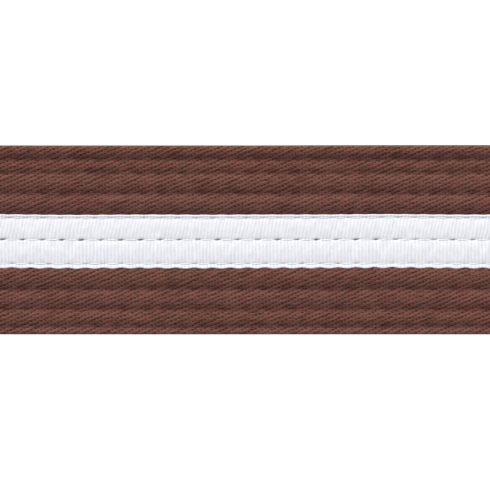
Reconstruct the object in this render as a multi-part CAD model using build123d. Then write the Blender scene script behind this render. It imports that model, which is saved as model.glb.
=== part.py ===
from build123d import *
import math
import os

# A martial arts belt: a strip of brown cotton twill round a core of flat plies, with a white
# stripe tape down the middle of each face and nine rows of stitching along its whole length.
# It lies folded in runs, one above the other, and an elastic loop holds the folds at one end.
# +X runs along the belt, +Y across it, and the lowest face is at Z = 0. Millimetres.

# The strip
BELT_LENGTH = 2800.0
BELT_WIDTH = 44.45
CLOTH = 0.6                    # thickness of the twill cover
PLY = 0.6                      # thickness of one core ply
PLY_COUNT = 4
COVER_EDGE_RADIUS = 1.3
PLY_SIDE_GAP = 0.2             # between a ply's edge and the cover's inside

# The stripe tape, sewn a little off the middle
TAPE = 0.5
TAPE_WIDTH = 12.7
TAPE_OFFSET = -0.35

# The stitching: each row's place across the belt, and the thread's section
STITCH_ROWS = (18.85, 15.65, 10.8, 5.3, 0.0, -5.55, -11.7, -16.45, -20.45)
THREAD_WIDTH = 0.5
THREAD_HEIGHT = 0.3
TIP_ZONE = 13.0                # the long rows end here, where the cross rows close the tip
TIP_WALL = 1.2                 # turned-in cloth at the very end
CROSS_ROWS = (4.0, 10.0)       # distance of each cross row from the tip
CROSS_ROW_MARGIN = 2.0         # between a cross row's end and the belt's edge

# The folded runs
RUN_COUNT = 9
PITCH = 5.0                    # from one run to the next
FOLD_INSETS = (0.0, 1.5, 2.0, 0.0, 0.8, 2.4, 1.4, 0.6)   # folds don't quite line up
INNER_TIP_X = 108.0            # the lowest run stops short of the folds, clear of the tie
FREE_TIP_INSET = 5.0           # the top run's tip stops short of the left folds

# The elastic loop, and the line where the top run bends up beside it
TIE_WIDTH = 10.0
TIE = 0.8
TIE_CLEARANCE = 0.3
TIE_X = 118.0                  # the loop's edge that faces the free end
BEND_GAP = 0.2                 # between the two sides of the bend line
BEND_X = TIE_X - 0.5

HALF_COVER = PLY_COUNT * PLY / 2 + CLOTH
HALF_BELT = HALF_COVER + TAPE
FOLD_RADIUS = PITCH / 2
TOP_RUN = RUN_COUNT - 1


def fold_line():
    """How far from the middle the outermost folds turn, for the belt's whole length."""
    folds = (RUN_COUNT - 1) * math.pi * FOLD_RADIUS
    taken_back = 2 * sum(FOLD_INSETS) + FREE_TIP_INSET
    return (BELT_LENGTH - folds - INNER_TIP_X + taken_back) / (2 * RUN_COUNT - 1)


FOLD_X = fold_line()
FREE_TIP_X = FREE_TIP_INSET - FOLD_X


def run_height(run):
    return HALF_BELT + run * PITCH


def fold_place(fold):
    """The X where this fold's turn begins: even folds are on the left, odd ones on the right."""
    reach = FOLD_X - FOLD_INSETS[fold]
    return reach if fold % 2 else -reach


def run_span(run, trim):
    """A run's lowest and highest X, with the belt's two tips cut back by trim."""
    start = INNER_TIP_X - trim if run == 0 else fold_place(run - 1)
    end = FREE_TIP_X + trim if run == TOP_RUN else fold_place(run)
    return min(start, end), max(start, end)


def straight(section, run, low_x, high_x):
    """The section along one run. The front face is up on even runs and down on odd ones."""
    if run % 2:
        plane = Plane(origin=(high_x, 0, run_height(run)), x_dir=(0, 1, 0), z_dir=(-1, 0, 0))
    else:
        plane = Plane(origin=(low_x, 0, run_height(run)), x_dir=(0, 1, 0), z_dir=(1, 0, 0))
    return extrude(plane * section, high_x - low_x)


def turn(section, fold):
    """The section round one fold, from the run below it to the run above it."""
    x = fold_place(fold)
    outward = 1 if fold % 2 else -1
    plane = Plane(origin=(x, 0, run_height(fold)), x_dir=(0, 1, 0), z_dir=(-outward, 0, 0))
    pivot = Axis((x, 0, run_height(fold) + FOLD_RADIUS), (0, -outward, 0))
    return revolve(plane * section, pivot, 180)


def folded(section, trim=0.0):
    """The section along every run and fold, up to the bend line in the top run."""
    pieces = []
    for run in range(RUN_COUNT):
        low_x, high_x = run_span(run, trim)
        if run == TOP_RUN:
            low_x = BEND_X + BEND_GAP / 2
        pieces.append(straight(section, run, low_x, high_x))
    pieces += [turn(section, fold) for fold in range(RUN_COUNT - 1)]
    return pieces[0].fuse(*pieces[1:])


def free_end(section, trim=0.0):
    """The section along the top run, from the bend line to the belt's tip."""
    return straight(section, TOP_RUN, FREE_TIP_X + trim, BEND_X - BEND_GAP / 2)


def inner_tip(section, start, end):
    """The section over a stretch of the lowest run, measured from the belt's inner tip."""
    return straight(section, 0, INNER_TIP_X - end, INNER_TIP_X - start)


def free_tip(section, start, end):
    """The section over a stretch of the top run, measured from the belt's free tip."""
    return straight(section, TOP_RUN, FREE_TIP_X + start, FREE_TIP_X + end)


def bar(low_y, high_y, low_s, high_s):
    """A rectangle in the belt's section: Y across the belt, S towards its front face."""
    middle = Pos((low_y + high_y) / 2, (low_s + high_s) / 2)
    return middle * Rectangle(high_y - low_y, high_s - low_s)


# Sections across the belt

def cover_outline():
    return RectangleRounded(BELT_WIDTH, 2 * HALF_COVER, COVER_EDGE_RADIUS)


def core_space():
    inside = BELT_WIDTH - 2 * CLOTH
    return RectangleRounded(inside, PLY_COUNT * PLY, COVER_EDGE_RADIUS - CLOTH / 2)


def tape_outline(side):
    low_y = TAPE_OFFSET - TAPE_WIDTH / 2
    low_s, high_s = sorted((side * HALF_COVER, side * HALF_BELT))
    return bar(low_y, low_y + TAPE_WIDTH, low_s, high_s)


def on_tape(row_y):
    return abs(row_y - TAPE_OFFSET) < TAPE_WIDTH / 2


def row_threads(row_y):
    """The needle thread in the front face and the bobbin thread in the back face."""
    surface = HALF_BELT if on_tape(row_y) else HALF_COVER
    low_y = row_y - THREAD_WIDTH / 2
    front = bar(low_y, low_y + THREAD_WIDTH, surface - THREAD_HEIGHT, surface)
    back = bar(low_y, low_y + THREAD_WIDTH, -surface, THREAD_HEIGHT - surface)
    return front, back


def all_threads():
    threads = [row_threads(row_y) for row_y in STITCH_ROWS]
    return [thread for pair in threads for thread in pair]


def ply_section(ply):
    """Plies are stacked from the back face; the outer two are narrower, for the round edges."""
    low_s = (ply - PLY_COUNT / 2) * PLY
    corner = COVER_EDGE_RADIUS - CLOTH / 2
    half_width = BELT_WIDTH / 2 - CLOTH - PLY_SIDE_GAP
    if ply in (0, PLY_COUNT - 1):
        half_width -= corner
    return bar(-half_width, half_width, low_s, low_s + PLY)


def cross_thread(side):
    """A cross row's thread, which steps up over the tape."""
    end_y = BELT_WIDTH / 2 - CROSS_ROW_MARGIN
    low_y = TAPE_OFFSET - TAPE_WIDTH / 2 - THREAD_HEIGHT
    high_y = TAPE_OFFSET + TAPE_WIDTH / 2 + THREAD_HEIGHT
    flat = HALF_COVER - THREAD_HEIGHT
    thread = bar(-end_y, low_y + THREAD_HEIGHT, flat, HALF_COVER)
    thread += bar(high_y - THREAD_HEIGHT, end_y, flat, HALF_COVER)
    thread += bar(low_y, low_y + THREAD_HEIGHT, flat, HALF_BELT)
    thread += bar(high_y - THREAD_HEIGHT, high_y, flat, HALF_BELT)
    thread += bar(low_y, high_y, HALF_BELT - THREAD_HEIGHT, HALF_BELT)
    return thread if side > 0 else mirror(thread, Plane.XZ)


def cross_threads(tip):
    """Both cross rows of one tip, front and back, as separate solids."""
    solids = []
    for row in CROSS_ROWS:
        for side in (1, -1):
            solids.append(tip(cross_thread(side), row, row + THREAD_WIDTH))
    return solids


# Pieces

def with_tip(body, outline, tip, threads, wall_space=None):
    """A piece's long part with its tip added, cut for the cross rows."""
    end = tip(outline, 0, TIP_ZONE)
    if wall_space is not None:
        end -= tip(wall_space, TIP_WALL, TIP_ZONE)
    for thread in threads:
        end -= thread
    return body + end


def pieces():
    """Every sub-part by name."""
    made = {}
    inner_cross = cross_threads(inner_tip)
    free_cross = cross_threads(free_tip)

    cover = cover_outline() - core_space() - all_threads()
    long_cover = folded(cover, TIP_ZONE)
    made["cover_folded"] = with_tip(
        long_cover, cover_outline(), inner_tip, inner_cross, core_space()
    )
    made["cover_free_end"] = with_tip(
        free_end(cover, TIP_ZONE), cover_outline(), free_tip, free_cross, core_space()
    )

    for ply in range(PLY_COUNT):
        section = ply_section(ply)
        made[f"core_ply_{ply + 1}_folded"] = folded(section, TIP_WALL)
        made[f"core_ply_{ply + 1}_free_end"] = free_end(section, TIP_WALL)

    for side, name in ((1, "front_stripe"), (-1, "back_stripe")):
        outline = tape_outline(side)
        tape = outline - all_threads()
        made[f"{name}_folded"] = with_tip(
            folded(tape, TIP_ZONE), outline, inner_tip, inner_cross
        )
        made[f"{name}_free_end"] = with_tip(
            free_end(tape, TIP_ZONE), outline, free_tip, free_cross
        )

    for row, row_y in enumerate(STITCH_ROWS, start=1):
        needle, bobbin = row_threads(row_y)
        made[f"stitch_row_{row}_folded"] = Compound(
            children=[folded(needle, TIP_ZONE), folded(bobbin, TIP_ZONE)]
        )
        made[f"stitch_row_{row}_free_end"] = Compound(
            children=[free_end(needle, TIP_ZONE), free_end(bobbin, TIP_ZONE)]
        )

    made["inner_tip_cross_stitches"] = Compound(children=inner_cross)
    made["free_tip_cross_stitches"] = Compound(children=free_cross)
    made["elastic_tie"] = elastic_tie()
    return made


def elastic_tie():
    """A flat elastic loop round every run but the lowest, which stops short of it."""
    low_z = run_height(1) - HALF_BELT - TIE_CLEARANCE
    high_z = run_height(TOP_RUN) + HALF_BELT + TIE_CLEARANCE
    inside_y = BELT_WIDTH + 2 * TIE_CLEARANCE
    inside_z = high_z - low_z
    plane = Plane(origin=(TIE_X, 0, (low_z + high_z) / 2), x_dir=(0, 1, 0), z_dir=(1, 0, 0))
    loop = RectangleRounded(inside_y + 2 * TIE, inside_z + 2 * TIE, COVER_EDGE_RADIUS + TIE)
    loop -= RectangleRounded(inside_y, inside_z, COVER_EDGE_RADIUS)
    return extrude(plane * loop, TIE_WIDTH)


os.makedirs("parts", exist_ok=True)
for node, solid in pieces().items():
    export_step(solid, f"parts/{node}.step")

print("fold line", round(FOLD_X, 2), "top face", round(run_height(TOP_RUN) + HALF_BELT, 2))
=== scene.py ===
import math

import bpy
import numpy as np
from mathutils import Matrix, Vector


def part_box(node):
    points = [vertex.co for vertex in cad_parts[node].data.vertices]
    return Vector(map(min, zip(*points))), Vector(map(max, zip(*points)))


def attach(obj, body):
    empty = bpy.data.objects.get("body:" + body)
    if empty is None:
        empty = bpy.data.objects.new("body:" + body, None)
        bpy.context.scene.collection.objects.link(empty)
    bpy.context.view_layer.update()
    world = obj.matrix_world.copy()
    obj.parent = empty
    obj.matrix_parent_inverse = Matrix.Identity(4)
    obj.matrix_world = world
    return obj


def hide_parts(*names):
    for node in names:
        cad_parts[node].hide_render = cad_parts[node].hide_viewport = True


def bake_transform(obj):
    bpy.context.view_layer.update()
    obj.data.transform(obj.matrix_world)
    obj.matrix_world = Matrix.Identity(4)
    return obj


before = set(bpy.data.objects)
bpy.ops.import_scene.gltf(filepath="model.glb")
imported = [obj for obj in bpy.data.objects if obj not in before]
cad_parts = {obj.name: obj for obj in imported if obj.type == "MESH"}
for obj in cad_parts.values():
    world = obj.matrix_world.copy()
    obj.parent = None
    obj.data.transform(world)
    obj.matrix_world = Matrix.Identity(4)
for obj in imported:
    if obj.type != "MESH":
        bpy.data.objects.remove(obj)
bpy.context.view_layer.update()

# A folded martial arts belt. Sizes below are in millimetres; meshes are made in metres.
MM = 0.001

# The strip, as the frame holds it
BELT_LENGTH = 2800.0
BELT_WIDTH = 44.45
HALF_BELT = 2.3                # half the thickness over both stripe tapes
PLY_WIDTHS = (40.8, 42.4, 42.4, 40.8)
PLY = 0.5                      # from one core ply to the next
PLY_GAP = 0.02
PLY_INSET = 2.0                # from the plies' ends to the belt's tips
TIP_ZONE = 13.0                # the long rows end here
CROSS_ROWS = (4.0, 10.0)       # the cross rows' distances from each tip
CROSS_ROW_MARGIN = 2.0         # between a cross row's end and the belt's edge
CROSS_STITCH = 3.2             # the length of its stitches

# The folded runs
RUN_COUNT = 9
PITCH = 5.0
FOLD_INSETS = (0.0, 1.5, 2.0, 0.0, 0.8, 2.4, 1.4, 0.6)
INNER_TIP_X = 108.0
FREE_TIP_INSET = 5.0
FOLD_RADIUS = PITCH / 2
TOP_RUN = RUN_COUNT - 1
SIDE_WANDER = 0.75             # how far the lower runs lie out of line across the stack
STRAIGHT_END = 350.0           # the length before the seam that lies straight
SETTLE = 250.0                 # and the length before that in which the wander fades

# The elastic loop and the seam under it
SEAM_X = 123.0                 # under the loop, where the folded pieces meet the free end's

# Stitch rows from +Y to -Y: place across the belt, stitch length, and the share of a stitch
# that is already sewn at the inner tip
ROWS = (
    (18.85, 4.7, 0.0), (15.65, 5.3, 0.37), (10.8, 4.55, 0.48),
    (5.12, 3.975, 0.65), (0.03, 4.61, 0.02), (-5.6, 4.245, 0.13),
    (-11.7, 5.1, 0.32), (-16.45, 5.65, 0.13), (-20.45, 4.85, 0.68),
)
STRIPE_ROWS = (3, 4, 5)        # the rows that hold the stripe tapes, counted from 0
COVER_ROW_STRAY = 0.1          # how far a row on the cover strays across the belt
STRIPE_ROW_STRAY = 0.05        # and one on the stripe, besides the tape's own drift
COVER_STITCH_STRAY = 0.12      # share of a stitch by which the cover's stitches fall unevenly
STRIPE_STITCH_STRAY = 0.05     # and the stripe's

# Cloth relief. Heights are measured from the belt's middle, and pairs give the -Y side first.
GROOVE = 1.5                   # height of the cover's surface at a stitch row
TIP_HEIGHT = 1.7               # and at the flat tips
VALLEY = 0.35                  # how far from a row its valley is rounded
PAD_SLOPE = 0.58               # slope of the padded cloth as it leaves a stitch row
HEM_SLOPE = 0.98               # and of the fuller roll between the first row and the +Y edge
CROSS_GROOVE = 0.3             # depth that a cross row pulls in
CROSS_REACH = 0.9              # and how far along the belt
PULL = 0.23                    # depth that a stitch pulls in at its needle hole
PULL_STITCHES = 0.3            # how far along the belt, in stitches
PULL_REACH = 0.8               # and how far across it
HOLE_STITCHES = 0.2            # how far a needle hole's painted shade reaches, in stitches
HOLE_REACH = 0.4               # and across the belt
STITCH_SLANT = 0.12            # a stitch's drift across its row, for each mm along it
TIP_FADE = (TIP_ZONE - 4, TIP_ZONE + 1)    # where the padding grows up, measured from a tip
EDGE_RADIUS = 0.28             # the cover's rolled edges
EDGE_PROUD = 0.08              # how far they stand outside the belt's width
HALF_WIDTH = BELT_WIDTH / 2 + EDGE_PROUD
HEM_LEANS = (3.0, 0.7)         # how far past its two edges the outer rolls would come down
COVER_TIP_ROUND = 1.6          # how far from a tip the cover grows to its full thickness

# The stripe tape
TAPE = 0.5
TAPE_EDGES = (-6.68, 5.98)
TAPE_SUNK = 0.35               # how far it presses the cover down
TAPE_SEAT = (0.1, 0.6)         # and how far inside its edges that begins and is complete
TAPE_LAP = 0.3                 # how far the padded bands run in under it
TAPE_PRESS = (-0.15, 0.3)      # how far the cover dips beside its edges; it rises at the first
TAPE_PRESS_REACH = 1.6
TAPE_CURL = (0.13, 0.3)        # slopes of its two selvedges outside its stitches
TAPE_WAVES = (0.3, 0.07)       # how far the stitches pull in its two selvedges
TAPE_SLOPE = 0.13              # of its two soft crowns
TAPE_PUCKER = 0.4              # share by which the crowns' height varies along the belt
TAPE_LINE = 0.038              # depth of the line that its stitches press
TAPE_LINE_REACH = 0.27
TAPE_PIT = 0.45                # depth of its needle holes
PIT_REACH = (0.56, 0.17)       # their reach along and across the belt
PIT_SLANT = -0.16              # their drift across the row, for each mm along it
PIT_STRENGTH = {3: 0.3, 4: 0.92, 5: 0.33}
PIT_RANGE = (0.5, 1.1)         # from the weakest needle hole to the strongest
TAPE_ROLL = 0.18               # how far in from its selvedges the tape is rounded
TAPE_EDGE = 0.2                # its thickness there
TAPE_BED = 0.1                 # how far its underside lies in the cover
TAPE_TIP_ROUND = 1.2           # how far from a tip it grows to its full thickness

THREAD_RADIUS = 0.15
THREAD_DIVE = 0.5              # how deep a thread dives at a needle hole
DIVE_STITCHES = 0.15           # and how far along the belt, in stitches
THREAD_SLANT = 0.22            # how far a stitch crosses its row
THREAD_SUNK = (0.08, 0.02)     # how deep its middle lies below the cover and below the tape


# The folded strip

def fold_line():
    """How far from the middle the outermost folds turn, for the belt's whole length."""
    folds = (RUN_COUNT - 1) * math.pi * FOLD_RADIUS
    taken_back = 2 * sum(FOLD_INSETS) + FREE_TIP_INSET
    return (BELT_LENGTH - folds - INNER_TIP_X + taken_back) / (2 * RUN_COUNT - 1)


FOLD_X = fold_line()
FREE_TIP_X = FREE_TIP_INSET - FOLD_X


def fold_place(fold):
    """The X where this fold's turn begins: even folds are at -X, odd ones at +X."""
    reach = FOLD_X - FOLD_INSETS[fold]
    return reach if fold % 2 else -reach


def route():
    """Each run and fold in order: kind, number, first and last length, and X where it starts."""
    legs, at = [], 0.0
    for run in range(RUN_COUNT):
        start = INNER_TIP_X if run == 0 else fold_place(run - 1)
        end = FREE_TIP_X if run == TOP_RUN else fold_place(run)
        legs.append(("run", run, at, at + abs(end - start), start))
        at += abs(end - start)
        if run < TOP_RUN:
            legs.append(("fold", run, at, at + math.pi * FOLD_RADIUS, end))
            at += math.pi * FOLD_RADIUS
    return legs


ROUTE = route()
LENGTH = ROUTE[-1][3]
SEAM = ROUTE[-1][2] + (ROUTE[-1][4] - SEAM_X)      # length along the belt at the seam


def centre_line(length):
    """X, Z and direction of the belt's middle at each length along it."""
    x, z = np.zeros_like(length), np.zeros_like(length)
    tx, tz = np.zeros_like(length), np.zeros_like(length)
    for kind, number, low, high, start in ROUTE:
        here = (length >= low - 1e-6) & (length <= high + 1e-6)
        outward = 1.0 if number % 2 else -1.0
        gone = length[here] - low
        height = HALF_BELT + number * PITCH
        if kind == "run":
            x[here], z[here] = start + outward * gone, height
            tx[here], tz[here] = outward, 0.0
        else:
            angle = gone / FOLD_RADIUS
            x[here] = start + outward * FOLD_RADIUS * np.sin(angle)
            z[here] = height + FOLD_RADIUS * (1 - np.cos(angle))
            tx[here], tz[here] = outward * np.cos(angle), np.sin(angle)
    return x, z, tx, tz


def waves(length, seed, *lengths):
    """A smooth wander between about -1 and 1, made of a few waves of the given lengths."""
    phases = np.random.default_rng(seed).uniform(0, 2 * math.pi, len(lengths))
    total = sum(np.sin(2 * math.pi * length / w + p) for w, p in zip(lengths, phases))
    return total / len(lengths)


def side_wander(length):
    """How far the runs lie out of line across the stack; the top run lies straight."""
    settle = np.clip((SEAM - STRAIGHT_END - length) / SETTLE, 0, 1)
    return SIDE_WANDER * settle * waves(length, 11, 910, 530, 1370)


def place(length, y, s):
    """Points in the frame, in mm, for lengths along, y across and s towards the front face."""
    x, z, tx, tz = centre_line(length)
    out = np.empty(np.broadcast_shapes(length.shape, y.shape, s.shape) + (3,))
    out[..., 0] = x + s * tz
    out[..., 1] = y + side_wander(length)
    out[..., 2] = z - s * tx
    return out


# Relief: where the rows run, and how high the cloth stands between them

def from_tip(length):
    """Distance to the nearer of the belt's two tips."""
    return np.minimum(length, LENGTH - length)


def smooth_step(value, low, high):
    """0 up to low, 1 from high on, and a smooth rise between."""
    share = np.clip((value - low) / (high - low), 0, 1)
    return share * share * (3 - 2 * share)


def bell(off, width):
    """1 at 0, falling away on both sides."""
    return np.exp(-((off / width) ** 2))


def tape_drift(length):
    """How far the stripe tape and its rows wander across the belt."""
    return 0.16 * waves(length, 3, 340, 145) + 0.05 * waves(length, 4, 31, 47)


def row_place(row, length):
    """Where a row runs across the belt; the stripe's rows go with the tape."""
    wander = waves(length, 20 + row, 83, 37, 58)
    if row in STRIPE_ROWS:
        return ROWS[row][0] + STRIPE_ROW_STRAY * wander + tape_drift(length)
    return ROWS[row][0] + COVER_ROW_STRAY * wander


def stitch_count(row, length):
    """Stitches sewn along a row up to each length; a whole number is a needle hole."""
    stray = STRIPE_STITCH_STRAY if row in STRIPE_ROWS else COVER_STITCH_STRAY
    uneven = stray * waves(length, 40 + row, 29, 61)
    return length / ROWS[row][1] + ROWS[row][2] + uneven


def near_hole(count, reach):
    """1 at a needle hole, falling to 0 about reach stitches away."""
    return bell(count - np.round(count), reach)


def edge_round(y):
    """The cover's thickness near its two edges, as a share of that in its middle."""
    past = np.clip((np.abs(y) - HALF_WIDTH + EDGE_RADIUS) / EDGE_RADIUS, 0, 1)
    return np.sqrt(1 - past ** 2)


def cross_pull(length):
    """How far the cross rows pull the cloth in near the tips."""
    return sum(CROSS_GROOVE * bell(from_tip(length) - row, CROSS_REACH) for row in CROSS_ROWS)


def bands(length):
    """Each padded band of the cover, as its upper and lower edge and its slope."""
    rows = [row_place(row, length) for row in range(len(ROWS))]
    top, bottom = HALF_WIDTH + HEM_LEANS[1], -HALF_WIDTH - HEM_LEANS[0]
    first, last = STRIPE_ROWS[0], STRIPE_ROWS[-1]
    above = rows[:first] + [TAPE_EDGES[1] - TAPE_LAP + tape_drift(length)]
    below = [TAPE_EDGES[0] + TAPE_LAP + tape_drift(length)] + rows[last + 1:] + [bottom]
    made = [(top, above[0], HEM_SLOPE)]
    made += [(upper, lower, PAD_SLOPE) for upper, lower in zip(above, above[1:])]
    made += [(upper, lower, PAD_SLOPE) for upper, lower in zip(below, below[1:])]
    return made


def relief(length, y):
    """The cover's height between its rows, and how near each point is to a needle hole, as the
    mask of painted shade there.
    """
    height = np.full(np.broadcast_shapes(length.shape, y.shape), GROOVE)
    for upper, lower, slope in bands(length):
        share = np.clip((y - lower) / (upper - lower), 0, 1)
        off = (upper - lower) * np.minimum(share, 1 - share)
        pad = (upper - lower) * share * (1 - share) - VALLEY * (1 - np.exp(-off / VALLEY))
        height = height + slope * pad
    low_y, high_y = (edge + tape_drift(length) for edge in TAPE_EDGES)
    under = smooth_step(y - low_y, *TAPE_SEAT) * smooth_step(high_y - y, *TAPE_SEAT)
    height = height - TAPE_SUNK * under
    for edge_y, press in zip((low_y, high_y), TAPE_PRESS):
        height = height - press * bell(y - edge_y, TAPE_PRESS_REACH)
    # hole gathers the mask of painted shade at the needle holes and where the stitches pull the
    # cloth in
    hole = np.zeros_like(height)
    for row in range(len(ROWS)):
        count = stitch_count(row, length)
        ahead = (count - np.round(count)) * ROWS[row][1]
        off = y - row_place(row, length) - STITCH_SLANT * ahead
        height = height - PULL * near_hole(count, PULL_STITCHES) * bell(off, PULL_REACH)
        hole = np.maximum(hole, near_hole(count, HOLE_STITCHES) * bell(off, HOLE_REACH))
    long_rows = smooth_step(from_tip(length), *TIP_FADE)
    height = TIP_HEIGHT + (height - TIP_HEIGHT) * long_rows - cross_pull(length)
    return height, hole * long_rows


def tape_relief(length, y, low_y, high_y):
    """The tape's height over its rows, and how dark each point is painted at a needle hole."""
    places = [row_place(row, length) for row in STRIPE_ROWS]
    top = GROOVE - TAPE_SUNK + TAPE
    height = top + TAPE_CURL[1] * np.maximum(y - places[0], 0)
    height = height + TAPE_CURL[0] * np.maximum(places[-1] - y, 0)
    for upper, lower in zip(places, places[1:]):
        share = (y - lower) / (upper - lower)
        pillow = TAPE_SLOPE * (upper - lower) * share * (1 - share)
        pillow = pillow * (1 + TAPE_PUCKER * waves(length + 0.5 * y, 7, 2.3, 3.7, 6.1))
        height = height + np.where((share >= 0) & (share <= 1), pillow, 0)
    dark = np.zeros_like(height)
    for row, middle in zip(STRIPE_ROWS, places):
        count = stitch_count(row, length)
        number = np.round(count)
        ahead = (count - number) * ROWS[row][1]
        off = y - middle - PIT_SLANT * ahead
        uneven = np.random.default_rng(row).uniform(*PIT_RANGE, 2000)[number.astype(int)]
        uneven = uneven * (1 + 0.3 * waves(length, 61 + row, 190, 70))
        pit = bell(ahead, PIT_REACH[0]) * bell(off, PIT_REACH[1]) * uneven * PIT_STRENGTH[row]
        height = height - TAPE_LINE * bell(y - middle, TAPE_LINE_REACH) - TAPE_PIT * pit
        # The pits are painted dark as well as sunk: painted shadow, with the brown cover showing
        # through.
        dark = np.maximum(dark, np.minimum(pit, 1))
    edge = np.minimum(y - low_y, high_y - y)
    roll = np.sqrt(1 - np.clip(1 - edge / TAPE_ROLL, 0, 1) ** 2)
    long_rows = smooth_step(from_tip(length), *TIP_FADE)
    height = TIP_HEIGHT + TAPE + (height - TIP_HEIGHT - TAPE) * long_rows - cross_pull(length)
    return height - (TAPE - TAPE_EDGE) * (1 - roll), dark * long_rows


# Meshes

def mesh_object(name, points, faces, material, ends=(), strip=None, hole=None):
    """A mesh of quads, with one more face for each of its ends.

    strip is each point's place along, across and through the belt, and hole masks the painted
    shade of the needle holes, 1 at a needle hole.
    """
    corners = np.concatenate([faces.ravel(), *ends])
    sizes = [4] * len(faces) + [len(end) for end in ends]
    mesh = bpy.data.meshes.new(name)
    mesh.vertices.add(len(points))
    mesh.loops.add(len(corners))
    mesh.polygons.add(len(sizes))
    mesh.vertices.foreach_set("co", (points * MM).ravel())
    mesh.polygons.foreach_set("loop_start", np.cumsum([0] + sizes[:-1]))
    mesh.polygons.foreach_set("vertices", corners)
    mesh.polygons.foreach_set("use_smooth", np.ones(len(sizes), bool))
    mesh.update(calc_edges=True)
    if strip is not None:
        data = mesh.attributes.new("strip", "FLOAT_VECTOR", "POINT").data
        data.foreach_set("vector", (strip * MM).ravel())
    if hole is not None:
        data = mesh.attributes.new("hole", "FLOAT", "POINT").data
        data.foreach_set("value", hole.ravel())
    mesh.materials.append(material)
    mesh.validate()
    piece = bpy.data.objects.new(name, mesh)
    bpy.context.scene.collection.objects.link(piece)
    return piece


def grid_faces(rings, ring, closed=False):
    """Quads between rings of points; closed joins the last ring to the first."""
    at = np.arange(rings if closed else rings - 1)[:, None]
    after = (at + 1) % rings * ring
    at = at * ring
    k = np.arange(ring)[None, :]
    following = (k + 1) % ring
    return np.stack([at + k, at + following, after + following, after + k], -1).reshape(-1, 4)


def tube_ends(rings, ring):
    """The two faces that close a tube, as rings of corners."""
    first = np.arange(ring)
    return [first[::-1], first + (rings - 1) * ring]


def strip_object(name, material, length, y, s, across=None, hole=None):
    """A closed strip from rings of points, one ring at each length along the belt."""
    y, s = y + 0 * length, s + 0 * length
    points = place(length, y, s)
    strip = np.stack([length + 0 * s, y if across is None else across + 0 * s, s], -1)
    rings, ring = y.shape
    faces, ends = grid_faces(rings, ring), tube_ends(rings, ring)
    return mesh_object(name, points.reshape(-1, 3), faces, material, ends, strip, hole)


def stations(low, high, step, fold_step=0.6):
    """Lengths along the belt from low to high. step gives the spacing for each run."""
    made = [low]
    for kind, number, start, end, _ in ROUTE:
        a, b = max(start, low), min(end, high)
        if b - a < 1e-6:
            continue
        count = max(1, round((b - a) / (step(number) if kind == "run" else fold_step)))
        made += list(a + (b - a) * np.arange(1, count + 1) / count)
    return np.array(made)


def cloth_step(run):
    """Fine on the runs that show, coarse on those pressed between others."""
    return {TOP_RUN: 0.6, TOP_RUN - 1: 0.8}.get(run, 3.2)


def tip_round(length, depth):
    """The thickness near the belt's tips, as a share of that in its middle."""
    return np.sqrt(1 - np.clip(1 - from_tip(length) / depth, 0, 1) ** 2)


def lines_across(length, low, high, rows, step):
    """Places across the strip, closer together at its edges and at its rows."""
    marks = [low + 0 * length] + [row_place(row, length) for row in reversed(rows)]
    marks.append(high + 0 * length)
    columns = []
    for lower, upper in zip(marks, marks[1:]):
        count = 3 + round(float(np.mean(upper - lower)) / step)
        turn = np.arange(count) / count
        share = turn - 0.65 * np.sin(2 * math.pi * turn) / (2 * math.pi)
        columns.append(lower + (upper - lower) * share)
    return np.concatenate(columns + [marks[-1]], axis=1)


def cover(name, low, high, step, material):
    """The twill cover between two lengths: a closed strip with a sewn, padded surface."""
    length = stations(low, high, cloth_step)[:, None]
    front_y = lines_across(length, -HALF_WIDTH, HALF_WIDTH, range(len(ROWS)), step)
    height, hole = relief(length, front_y)
    full = height * (0.15 + 0.85 * tip_round(length, COVER_TIP_ROUND))
    height = full * edge_round(front_y)
    weave_y = front_y + np.sign(front_y) * (full - height)
    back = slice(-2, 0, -1)
    y = np.concatenate([front_y, front_y[:, back]], axis=1)
    s = np.concatenate([height, -height[:, back]], axis=1)
    hole = np.concatenate([hole, hole[:, back]], axis=1)
    weave_y = np.concatenate([weave_y, weave_y[:, back]], axis=1)
    return strip_object(name, material, length, y, s, weave_y, hole)


def tape(name, side, low, high, step, closer, material):
    """A stripe tape on the front (side 1) or back (side -1), sewn down along three rows.

    closer is the distance between its rings of points, as a share of the cover's.
    """
    length = stations(low, high, lambda run: closer * cloth_step(run))[:, None]
    drift = tape_drift(length)
    low_pull = near_hole(stitch_count(STRIPE_ROWS[-1], length), PULL_STITCHES)
    high_pull = near_hole(stitch_count(STRIPE_ROWS[0], length), PULL_STITCHES)
    low_y = TAPE_EDGES[0] + drift + TAPE_WAVES[0] * (low_pull - 0.5)
    high_y = TAPE_EDGES[1] + drift - TAPE_WAVES[1] * high_pull
    top_y = lines_across(length, low_y, high_y, STRIPE_ROWS, step)
    top, dark = tape_relief(length, top_y, low_y, high_y)
    base_y = high_y + (low_y - high_y) * np.linspace(0, 1, 9)[None, :]
    highest = GROOVE - TAPE_SUNK + TAPE_EDGE
    base = np.minimum(relief(length, base_y)[0], highest) - TAPE_BED
    y = np.concatenate([top_y, base_y], axis=1)
    s = np.concatenate([top, base], axis=1) * (0.4 + 0.6 * tip_round(length, TAPE_TIP_ROUND))
    dark = np.concatenate([dark, 0 * base], axis=1)
    if side < 0:
        y, s, dark = y[:, ::-1], -s[:, ::-1], dark[:, ::-1]
    return strip_object(name, material, length, y, s, hole=dark)


def ply(name, number, low, high, material):
    """One flat ply of the core, which stops short of the belt's tips."""
    low, high = max(low, PLY_INSET), min(high, LENGTH - PLY_INSET)
    length = stations(low, high, lambda run: 1.5 if run == TOP_RUN else 5.0)[:, None]
    half = PLY_WIDTHS[number] / 2
    middle = (number - 1.5) * PLY
    y = np.array([[-half, half, half, -half]])
    s = middle + np.array([[1, 1, -1, -1]]) * (PLY - PLY_GAP) / 2
    return strip_object(name, material, length, y, s)


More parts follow.
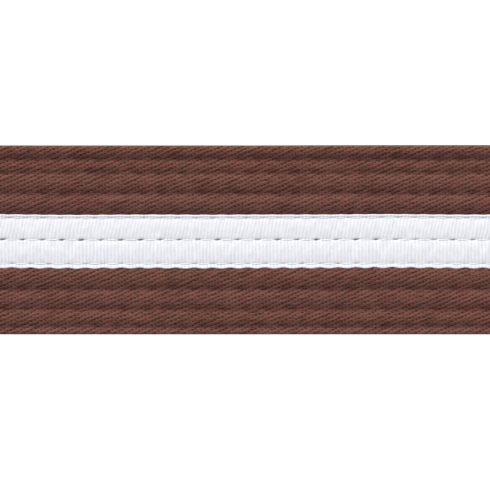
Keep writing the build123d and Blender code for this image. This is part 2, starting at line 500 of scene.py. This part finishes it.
def ring_round(across, s, ring, turn):
    """A ring of points round each point of a thread. turn is the way round, 1 or -1."""
    angle = turn * np.arange(ring)[None, :] * 2 * math.pi / ring
    return across + THREAD_RADIUS * np.cos(angle), s + THREAD_RADIUS * np.sin(angle)


def join(name, material, parts):
    """One mesh from several tubes, each given as its points and their strip places."""
    points, strips, faces, ends, base = [], [], [], [], 0
    for here, strip in parts:
        rings, ring = here.shape[:2]
        faces.append(grid_faces(rings, ring) + base)
        ends += [end + base for end in tube_ends(rings, ring)]
        points.append(here.reshape(-1, 3))
        strips.append(strip.reshape(-1, 3))
        base += rings * ring
    points, strips, faces = (np.concatenate(each) for each in (points, strips, faces))
    return mesh_object(name, points, faces, material, ends, strips)


def row_threads(name, row, low, high, per_stitch, ring, material):
    """A row's two threads, front and back, diving into the cloth at each needle hole."""
    low, high = max(low, TIP_ZONE), min(high, LENGTH - TIP_ZONE)
    step = ROWS[row][1] / per_stitch
    length = stations(low, high, lambda run: step, min(step, 0.8))[:, None]
    count = stitch_count(row, length)
    dive = near_hole(count, DIVE_STITCHES)
    slant = (count - np.floor(count) - 0.5) * (1 - dive)
    middle = row_place(row, length)
    if row in STRIPE_ROWS:
        surface = GROOVE - TAPE_SUNK + TAPE - TAPE_LINE - THREAD_SUNK[1]
    else:
        surface = relief(length, middle)[0] - THREAD_SUNK[0]
    parts = []
    for side in (1, -1):
        depth = side * (surface - THREAD_DIVE * dive)
        ring_y, ring_s = ring_round(middle - THREAD_SLANT * slant, depth, ring, -1)
        strip = np.stack([length + 0 * ring_y, ring_y, ring_s], -1)
        parts.append((place(length, ring_y, ring_s), strip))
    return join(name, material, parts)


def cross_threads(name, tip, material):
    """The two cross rows that close a tip, front and back. tip is its place along the belt."""
    reach = BELT_WIDTH / 2 - CROSS_ROW_MARGIN
    y = np.linspace(-reach, reach, 140)[:, None]
    dive = near_hole(y / CROSS_STITCH, 0.13)
    over_tape = smooth_step(y, TAPE_EDGES[0] - 0.3, TAPE_EDGES[0])
    over_tape = over_tape * (1 - smooth_step(y, TAPE_EDGES[1], TAPE_EDGES[1] + 0.3))
    surface = TIP_HEIGHT - CROSS_GROOVE + TAPE * over_tape + 0.05 - THREAD_DIVE * dive
    parts = []
    for row in CROSS_ROWS:
        middle = abs(tip - row)
        for side in (1, -1):
            ring_l, ring_s = ring_round(middle + 0.2 * dive, side * surface, 8, 1)
            strip = np.stack([y + 0 * ring_l, ring_l, ring_s], -1)
            parts.append((place(ring_l, y + 0 * ring_l, ring_s), strip))
    return join(name, material, parts)


# Materials

class Graph:
    """A short way to write a material's nodes."""

    def __init__(self, name):
        self.material = bpy.data.materials.new(name)
        self.material.use_nodes = True
        self.tree = self.material.node_tree
        self.shader = self.tree.nodes["Principled BSDF"]

    def node(self, kind, inputs=(), **settings):
        made = self.tree.nodes.new(kind)
        for key, value in settings.items():
            setattr(made, key, value)
        for key, value in dict(inputs).items():
            self.put(made.inputs[key], value)
        return made

    def put(self, socket, value):
        if isinstance(value, bpy.types.NodeSocket):
            self.tree.links.new(value, socket)
        else:
            socket.default_value = value

    def math(self, operation, *values):
        made = self.node("ShaderNodeMath", operation=operation)
        for socket, value in zip(made.inputs, values):
            self.put(socket, value)
        return made.outputs[0]

    def strip(self):
        """Place along and across the belt, in millimetres, and the raw vector."""
        vector = self.node("ShaderNodeAttribute", attribute_name="strip").outputs["Vector"]
        scaled = self.node("ShaderNodeVectorMath", {0: vector, "Scale": 1 / MM}, operation="SCALE")
        parts = self.node("ShaderNodeSeparateXYZ", {0: scaled.outputs[0]})
        return parts.outputs[0], parts.outputs[1], scaled.outputs[0]

    def noise(self, vector, size, detail=2.0):
        """Smooth noise from 0 to 1 with features of that size in millimetres."""
        made = self.node(
            "ShaderNodeTexNoise", {"Vector": vector, "Scale": 1 / size, "Detail": detail}
        )
        return made.outputs["Fac"]

    def chance(self, first, second):
        """A random value from 0 to 1 for each pair of whole numbers."""
        pair = self.node("ShaderNodeCombineXYZ", {0: first, 1: second}).outputs[0]
        return self.node("ShaderNodeTexWhiteNoise", {"Vector": pair}).outputs["Value"]

    def wave(self, turns):
        """1 at each whole turn, 0 half way between."""
        angle = self.math("MULTIPLY", turns, 2 * math.pi)
        return self.math("MULTIPLY_ADD", self.math("COSINE", angle), 0.5, 0.5)

    def bell(self, value, width):
        """1 at 0, falling away on both sides."""
        square = self.math("POWER", self.math("ABSOLUTE", value), 2.0)
        return self.math("EXPONENT", self.math("MULTIPLY", square, -1 / width ** 2))

    def mix(self, share, first, second):
        made = self.node("ShaderNodeMix", data_type="RGBA")
        self.put(made.inputs[0], share)
        self.put(made.inputs[6], first)
        self.put(made.inputs[7], second)
        return made.outputs[2]

    def span(self, value, low, high):
        """A value from 0 to 1 spread over low to high."""
        return self.math("MULTIPLY_ADD", value, high - low, low)

    # The mask of painted shade at the needle holes.
    def hole(self):
        return self.node("ShaderNodeAttribute", attribute_name="hole").outputs["Fac"]

    def finish(self, colour, height, depth, roughness, sheen):
        """Joins colour and bump to the shader. depth is the bump's depth in millimetres."""
        bump = self.node(
            "ShaderNodeBump", {"Height": height, "Distance": depth * MM, "Strength": 1.0}
        )
        self.put(self.shader.inputs["Base Color"], colour)
        self.put(self.shader.inputs["Normal"], bump.outputs[0])
        self.put(self.shader.inputs["Roughness"], roughness)
        self.shader.inputs["Specular IOR Level"].default_value = 0.25
        self.shader.inputs["Sheen Weight"].default_value = sheen
        self.shader.inputs["Sheen Roughness"].default_value = 0.5
        return self.material


def srgb(red, green, blue):
    """A colour given as 0 to 255 screen values, as the linear values that nodes take."""
    return tuple((c / 255) ** 2.2 for c in (red, green, blue)) + (1.0,)


WARP_PITCH = 0.342             # from one warp yarn to the next, across the belt
FLOAT_REPEAT = 2.356           # from one dip of a warp yarn to its next, along the belt
TWILL_STEP = 0.785             # how far each yarn's dips lie ahead of its neighbour's
STREAK_STRETCH = 0.12          # width of a streak as a share of its length along the diagonals
RIB_PITCH = 0.83               # from one rib of the stripe tape to the next
RIB_LEAN = 0.21                # turns of a rib for each mm across, on the tape's +Y half


def twill_material():
    """A warp-faced twill: floats along the belt, whose dips step into diagonal lines.

    bow and sway move the weave a little along and across the belt, so that it isn't too even.
    """
    g = Graph("brown_twill")
    along, across_belt, place_mm = g.strip()
    bow = g.span(g.noise(place_mm, 5.0), -0.5, 0.5)
    bow = g.math("ADD", bow, g.span(g.noise(place_mm, 1.1), -0.4, 0.4))
    sway = g.span(g.noise(place_mm, 1.7), -0.2, 0.2)
    warps = g.math("MULTIPLY", g.math("ADD", across_belt, sway), 1 / WARP_PITCH)
    warp = g.math("ROUND", warps)
    side = g.math("SUBTRACT", warps, warp)
    shifted = g.math("MULTIPLY_ADD", warp, TWILL_STEP, g.math("ADD", along, bow))
    floats = g.math("MULTIPLY", shifted, 1 / FLOAT_REPEAT)
    number = g.math("ROUND", floats)
    own = g.chance(warp, number)
    dip = g.bell(g.math("SUBTRACT", floats, number), 0.1)
    dip = g.math("MULTIPLY", dip, g.span(own, 0.8, 1.35))
    dome = g.math("COSINE", g.math("MULTIPLY", side, math.pi))
    lift = g.math("MULTIPLY", g.span(dome, 0.5, 1.0), g.span(dip, 1.0, 0.0))
    smooth = g.math("MULTIPLY_ADD", warps, TWILL_STEP, g.math("ADD", along, bow))
    groove = g.wave(g.math("MULTIPLY", smooth, 1 / FLOAT_REPEAT))
    slant = math.hypot(WARP_PITCH, TWILL_STEP)
    over_lines = g.math("MULTIPLY", smooth, WARP_PITCH / slant)
    down_lines = g.math("MULTIPLY", along, -TWILL_STEP / slant)
    down_lines = g.math("MULTIPLY_ADD", across_belt, WARP_PITCH / slant, down_lines)
    down_lines = g.math("MULTIPLY", down_lines, STREAK_STRETCH)
    streaks = g.node("ShaderNodeCombineXYZ", {0: over_lines, 1: down_lines}).outputs[0]
    streak = g.noise(streaks, 0.6)
    fibre = g.noise(place_mm, 0.25, 3.0)
    height = g.math("MULTIPLY_ADD", fibre, 0.3, g.math("MULTIPLY", lift, 0.5))
    height = g.math("MULTIPLY_ADD", groove, -0.6, height)
    height = g.math("MULTIPLY_ADD", streak, 1.2, height)

    blotch = g.noise(place_mm, 2.2, 3.0)
    light = g.mix(g.span(blotch, -0.6, 1.6), srgb(110, 67, 58), srgb(102, 71, 58))
    # Painted shade: the colour darkens in the weave's dips, between the warps, along the diagonal
    # grooves and in the streaks, as their relief would shade; fibre, the per-float chance and the
    # broad noise are the cloth's own uneven tone.
    shade = g.math("ADD", g.span(lift, 0.05, 1.05), g.span(fibre, -0.2, 0.2))
    shade = g.math("ADD", shade, g.span(g.chance(number, warp), -0.22, 0.22))
    shade = g.math("ADD", shade, g.span(g.noise(place_mm, 8.0), -0.25, 0.25))
    shade = g.math("ADD", shade, g.span(streak, -0.6, 0.6))
    shade = g.math("MULTIPLY_ADD", groove, -0.1, shade)
    # The dark colour is the painted shade; light is the cloth's own colour, blotched in hue.
    colour = g.mix(shade, srgb(57, 22, 17), light)
    # Painted shade: the cloth is darkened at the needle holes and where the stitches pull it in.
    colour = g.mix(g.math("MULTIPLY", g.hole(), 0.4), colour, srgb(54, 31, 32))
    return g.finish(colour, height, 0.16, 0.9, 0.1)


def tape_material():
    """A ribbed white tape, whose ribs lean on the half that the sewing has dragged."""
    g = Graph("white_tape")
    along, across_belt, place_mm = g.strip()
    stray = g.span(g.noise(place_mm, 3.0), -0.35, 0.35)
    dragged = g.math("MULTIPLY", g.math("MAXIMUM", across_belt, 0.0), RIB_LEAN)
    ribs = g.math("MULTIPLY_ADD", along, 1 / RIB_PITCH, g.math("ADD", dragged, stray))
    rib = g.wave(ribs)
    fine = g.wave(g.math("MULTIPLY", across_belt, 1 / 0.3))
    fibre = g.noise(place_mm, 0.3, 3.0)
    cloud = g.noise(place_mm, 1.6, 3.0)
    height = g.math("MULTIPLY_ADD", fine, 0.2, rib)
    height = g.math("MULTIPLY_ADD", fibre, 0.5, height)
    # Painted shade: the ribs are painted darker in their hollows as well as bumped; cloud and
    # fibre vary the tape's tone at random.
    shade = g.math("ADD", g.span(rib, 0.2, 0.75), g.span(cloud, -0.5, 0.5))
    shade = g.math("ADD", shade, g.span(fibre, -0.5, 0.5))
    colour = g.mix(shade, srgb(203, 205, 210), srgb(228, 228, 233))
    # A needle hole is painted dark grey: painted shadow in its pit, and the brown cover showing
    # through it.
    colour = g.mix(g.math("MULTIPLY", g.hole(), 0.95), colour, srgb(52, 50, 54))
    return g.finish(colour, height, 0.05, 0.8, 0.1)


def thread_material(name, light, dark):
    """A twisted sewing thread."""
    g = Graph(name)
    along, across_belt, place_mm = g.strip()
    twist = g.math("MULTIPLY_ADD", along, 1 / 0.5, g.math("MULTIPLY", across_belt, 2.2))
    strand = g.wave(twist)
    fibre = g.noise(place_mm, 0.15, 2.0)
    height = g.math("MULTIPLY_ADD", fibre, 0.4, strand)
    # Painted shade: the grooves of the twist are painted in the dark colour.
    colour = g.mix(strand, dark, light)
    return g.finish(colour, height, 0.04, 0.75, 0.1)


def cotton_material():
    """The core's plain, unbleached cloth."""
    g = Graph("core_cotton")
    along, across_belt, place_mm = g.strip()
    warp = g.wave(g.math("MULTIPLY", across_belt, 1 / 0.6))
    weft = g.wave(g.math("MULTIPLY", along, 1 / 0.6))
    height = g.math("MULTIPLY", warp, weft)
    colour = g.mix(g.noise(place_mm, 2.0), srgb(205, 194, 168), srgb(226, 218, 196))
    return g.finish(colour, height, 0.1, 0.95, 0.2)


def elastic_material():
    """A black woven elastic, ribbed along and across."""
    g = Graph("tie_elastic")
    along, across_band, place_mm = g.strip()
    rib = g.wave(g.math("MULTIPLY", across_band, 1 / 0.9))
    cord = g.wave(g.math("MULTIPLY", along, 1 / 0.7))
    height = g.math("MULTIPLY_ADD", cord, 0.5, rib)
    fibre = g.noise(place_mm, 0.4, 3.0)
    height = g.math("MULTIPLY_ADD", fibre, 0.3, height)
    # Painted shade: the hollows between the ribs and cords are painted darker.
    colour = g.mix(g.math("MULTIPLY", rib, cord), srgb(26, 26, 29), srgb(62, 62, 66))
    return g.finish(colour, height, 0.12, 0.7, 0.2)


# The elastic loop

TIE_BAND = 0.8                 # its thickness
TIE_CORNER = 2.1               # outer radius of its corners
TIE_ROLL = 0.45                # how far in from its edges it is rounded


def round_corners(half_y, half_z, corner):
    """Points round the corners of a rectangle, each with the direction that faces out."""
    ring = []
    for turn, (side_y, side_z) in enumerate(((1, 1), (-1, 1), (-1, -1), (1, -1))):
        for step in range(9):
            angle = math.pi / 2 * (turn + step / 8)
            out_y, out_z = math.cos(angle), math.sin(angle)
            y = side_y * (half_y - corner) + corner * out_y
            z = side_z * (half_z - corner) + corner * out_z
            ring.append((y, z, out_y, out_z))
    return ring


def filled(ring, step):
    """The same ring with more points where two lie further apart than step."""
    path = []
    for here, after in zip(ring, ring[1:] + ring[:1]):
        count = max(1, round(math.dist(here[:2], after[:2]) / step))
        for part in range(count):
            path.append([a + (b - a) * part / count for a, b in zip(here, after)])
    return np.array(path)


def elastic_tie(material):
    """A flat woven band round the folds, a little loose, with thin rolled edges."""
    low, high = (np.array(corner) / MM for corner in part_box("elastic_tie"))
    middle_y, middle_z = (low[1] + high[1]) / 2, (low[2] + high[2]) / 2
    half_y, half_z = (high[1] - low[1]) / 2, (high[2] - low[2]) / 2
    path = filled(round_corners(half_y, half_z, TIE_CORNER), 1.2)
    gone = np.concatenate([[0], np.cumsum(np.linalg.norm(np.diff(path[:, :2], axis=0), axis=1))])
    across_band = np.linspace(low[0], high[0], 25)
    edge = np.minimum(across_band - low[0], high[0] - across_band)
    roll = np.sqrt(np.clip(1 - np.clip(1 - edge / TIE_ROLL, 0, 1) ** 2, 0, 1))
    outer = TIE_BAND * (0.45 + 0.55 * roll) - TIE_BAND
    inner = -TIE_BAND + 0.25 * TIE_BAND * (1 - roll)
    x = np.concatenate([across_band, across_band[::-1]])
    depth = np.concatenate([outer, inner[::-1]])
    normal = path[:, 2:] / np.linalg.norm(path[:, 2:], axis=1, keepdims=True)
    points = np.empty((len(path), len(x), 3))
    points[..., 0] = x
    points[..., 1] = middle_y + path[:, :1] + normal[:, :1] * depth
    points[..., 2] = middle_z + path[:, 1:2] + normal[:, 1:] * depth
    strip = np.empty_like(points)
    strip[..., 0] = gone[:, None]
    strip[..., 1] = x
    strip[..., 2] = depth
    faces = grid_faces(len(path), len(x), closed=True)[:, ::-1]
    points = points.reshape(-1, 3)
    piece = mesh_object("elastic_tie_band", points, faces, material, strip=strip)
    return piece, float(gone[-1])


# Stage, lights and camera

def stage_material():
    """A plain white that glows a little, so that the floor stays even and bright."""
    g = Graph("white_stage")
    vector = g.node("ShaderNodeNewGeometry").outputs["Position"]
    soft = g.node("ShaderNodeTexNoise", {"Vector": vector, "Scale": 3.0}).outputs["Fac"]
    colour = g.mix(soft, (0.9, 0.9, 0.9, 1), (0.92, 0.92, 0.92, 1))
    g.put(g.shader.inputs["Base Color"], colour)
    g.shader.inputs["Roughness"].default_value = 0.9
    g.shader.inputs["Emission Color"].default_value = (1, 1, 1, 1)
    g.shader.inputs["Emission Strength"].default_value = 0.78
    return g.material


def stage():
    """A pale floor that curves up into a low wall all round."""
    flat, bend, wall = 3.0, 0.9, 1.6
    profile = [(0.01, 0.0), (0.2 * flat, 0.0), (0.5 * flat, 0.0), (flat, 0.0)]
    for step in range(1, 9):
        angle = math.pi / 2 * step / 8
        profile.append((flat + bend * math.sin(angle), bend * (1 - math.cos(angle))))
    profile.append((flat + bend, wall))
    turn = np.arange(96) * 2 * math.pi / 96
    points = [
        np.stack([radius * np.cos(turn), radius * np.sin(turn), height + 0 * turn], -1)
        for radius, height in profile
    ]
    faces = grid_faces(len(profile), len(turn))
    floor = mesh_object("pale_floor", np.concatenate(points) / MM, faces, stage_material())


def area_light(name, where, size, power, colour):
    """A round light that faces the origin and doesn't show to the camera."""
    data = bpy.data.lights.new(name, "AREA")
    data.shape = "DISK"
    data.size = size
    data.energy = power
    data.color = colour
    light = bpy.data.objects.new(name, data)
    light.location = where
    aim = -light.location.normalized()
    light.rotation_mode = "QUATERNION"
    light.rotation_quaternion = aim.to_track_quat("-Z", "Y")
    light.visible_camera = False
    bpy.context.scene.collection.objects.link(light)


def lights():
    """A soft light across the belt from +Y, so that its bands shade, and a little all round."""
    area_light("key_light", (0.1, 1.9, 1.4), 1.3, 78, (1.0, 0.985, 0.96))
    area_light("fill_light", (-0.6, -1.9, 1.6), 1.4, 2, (0.92, 0.96, 1.0))
    world = bpy.data.worlds.new("soft_studio")
    world.use_nodes = True
    background = world.node_tree.nodes["Background"]
    background.inputs["Color"].default_value = (0.86, 0.88, 1.02, 1)
    background.inputs["Strength"].default_value = 0.25
    bpy.context.scene.world = world
    bpy.context.scene.view_settings.view_transform = "Standard"


def camera():
    """Straight above the top run, which fills the frame from side to side."""
    shown_width = 115.1 * MM
    belt_above_centre = 1.23 * MM
    data = bpy.data.cameras.new("camera")
    data.lens, data.sensor_width = 200, 36
    distance = shown_width * data.lens / data.sensor_width
    top_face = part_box("cover_free_end")[1][2]
    eye = bpy.data.objects.new("camera", data)
    eye.location = (0, -belt_above_centre, top_face + distance)
    data.clip_start = 0.05
    bpy.context.scene.collection.objects.link(eye)
    bpy.context.scene.camera = eye


# The belt, piece by piece


def keep(piece, end, slot, *nodes):
    """Rides a folded piece on the stack, or bakes a free end's piece where it lies, and hides the
    parts that it replaces.
    """
    if end == "folded":
        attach(piece, "folded_stack")
    else:
        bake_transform(piece)
    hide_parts(*nodes)


def belt():
    """All of the belt's pieces, those of the free end with finer meshes than the folded ones."""
    twill, white, cotton = twill_material(), tape_material(), cotton_material()
    # Each thread's second colour is the painted shade in the grooves of its twist.
    threads = {
        "brown_thread": thread_material("brown_thread", srgb(104, 66, 58), srgb(66, 40, 37)),
        "white_thread": thread_material("white_thread", srgb(228, 229, 233), srgb(203, 204, 209)),
    }
    for end, low, high in (("folded", 0.0, SEAM), ("free_end", SEAM, LENGTH)):
        if end == "folded":
            step, closer, per_stitch, ring = 1.15, 1.0, 5, 4
        else:
            step, closer, per_stitch, ring = 0.45, 0.5, 14, 8

        piece = cover(f"twill_cover_{end}", low, high, step, twill)
        keep(piece, end, "brown_twill", f"cover_{end}")

        for side, name in ((1, "front_stripe"), (-1, "back_stripe")):
            piece = tape(f"{name}_tape_{end}", side, low, high, 0.8 * step, closer, white)
            keep(piece, end, "white_tape", f"{name}_{end}")

        for number in range(4):
            piece = ply(f"cotton_ply_{number + 1}_{end}", number, low, high, cotton)
            keep(piece, end, "core_cotton", f"core_ply_{number + 1}_{end}")

        for row in range(len(ROWS)):
            slot = "white_thread" if row in STRIPE_ROWS else "brown_thread"
            name = f"row_{row + 1}_threads_{end}"
            piece = row_threads(name, row, low, high, per_stitch, ring, threads[slot])
            keep(piece, end, slot, f"stitch_row_{row + 1}_{end}")

    for name, tip, end in (("inner_tip", 0.0, "folded"), ("free_tip", LENGTH, "free_end")):
        piece = cross_threads(f"{name}_cross_threads", tip, threads["brown_thread"])
        keep(piece, end, "brown_thread", f"{name}_cross_stitches")


stage()
lights()
camera()
belt()

tie, around = elastic_tie(elastic_material())
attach(tie, "elastic_tie")
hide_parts("elastic_tie")
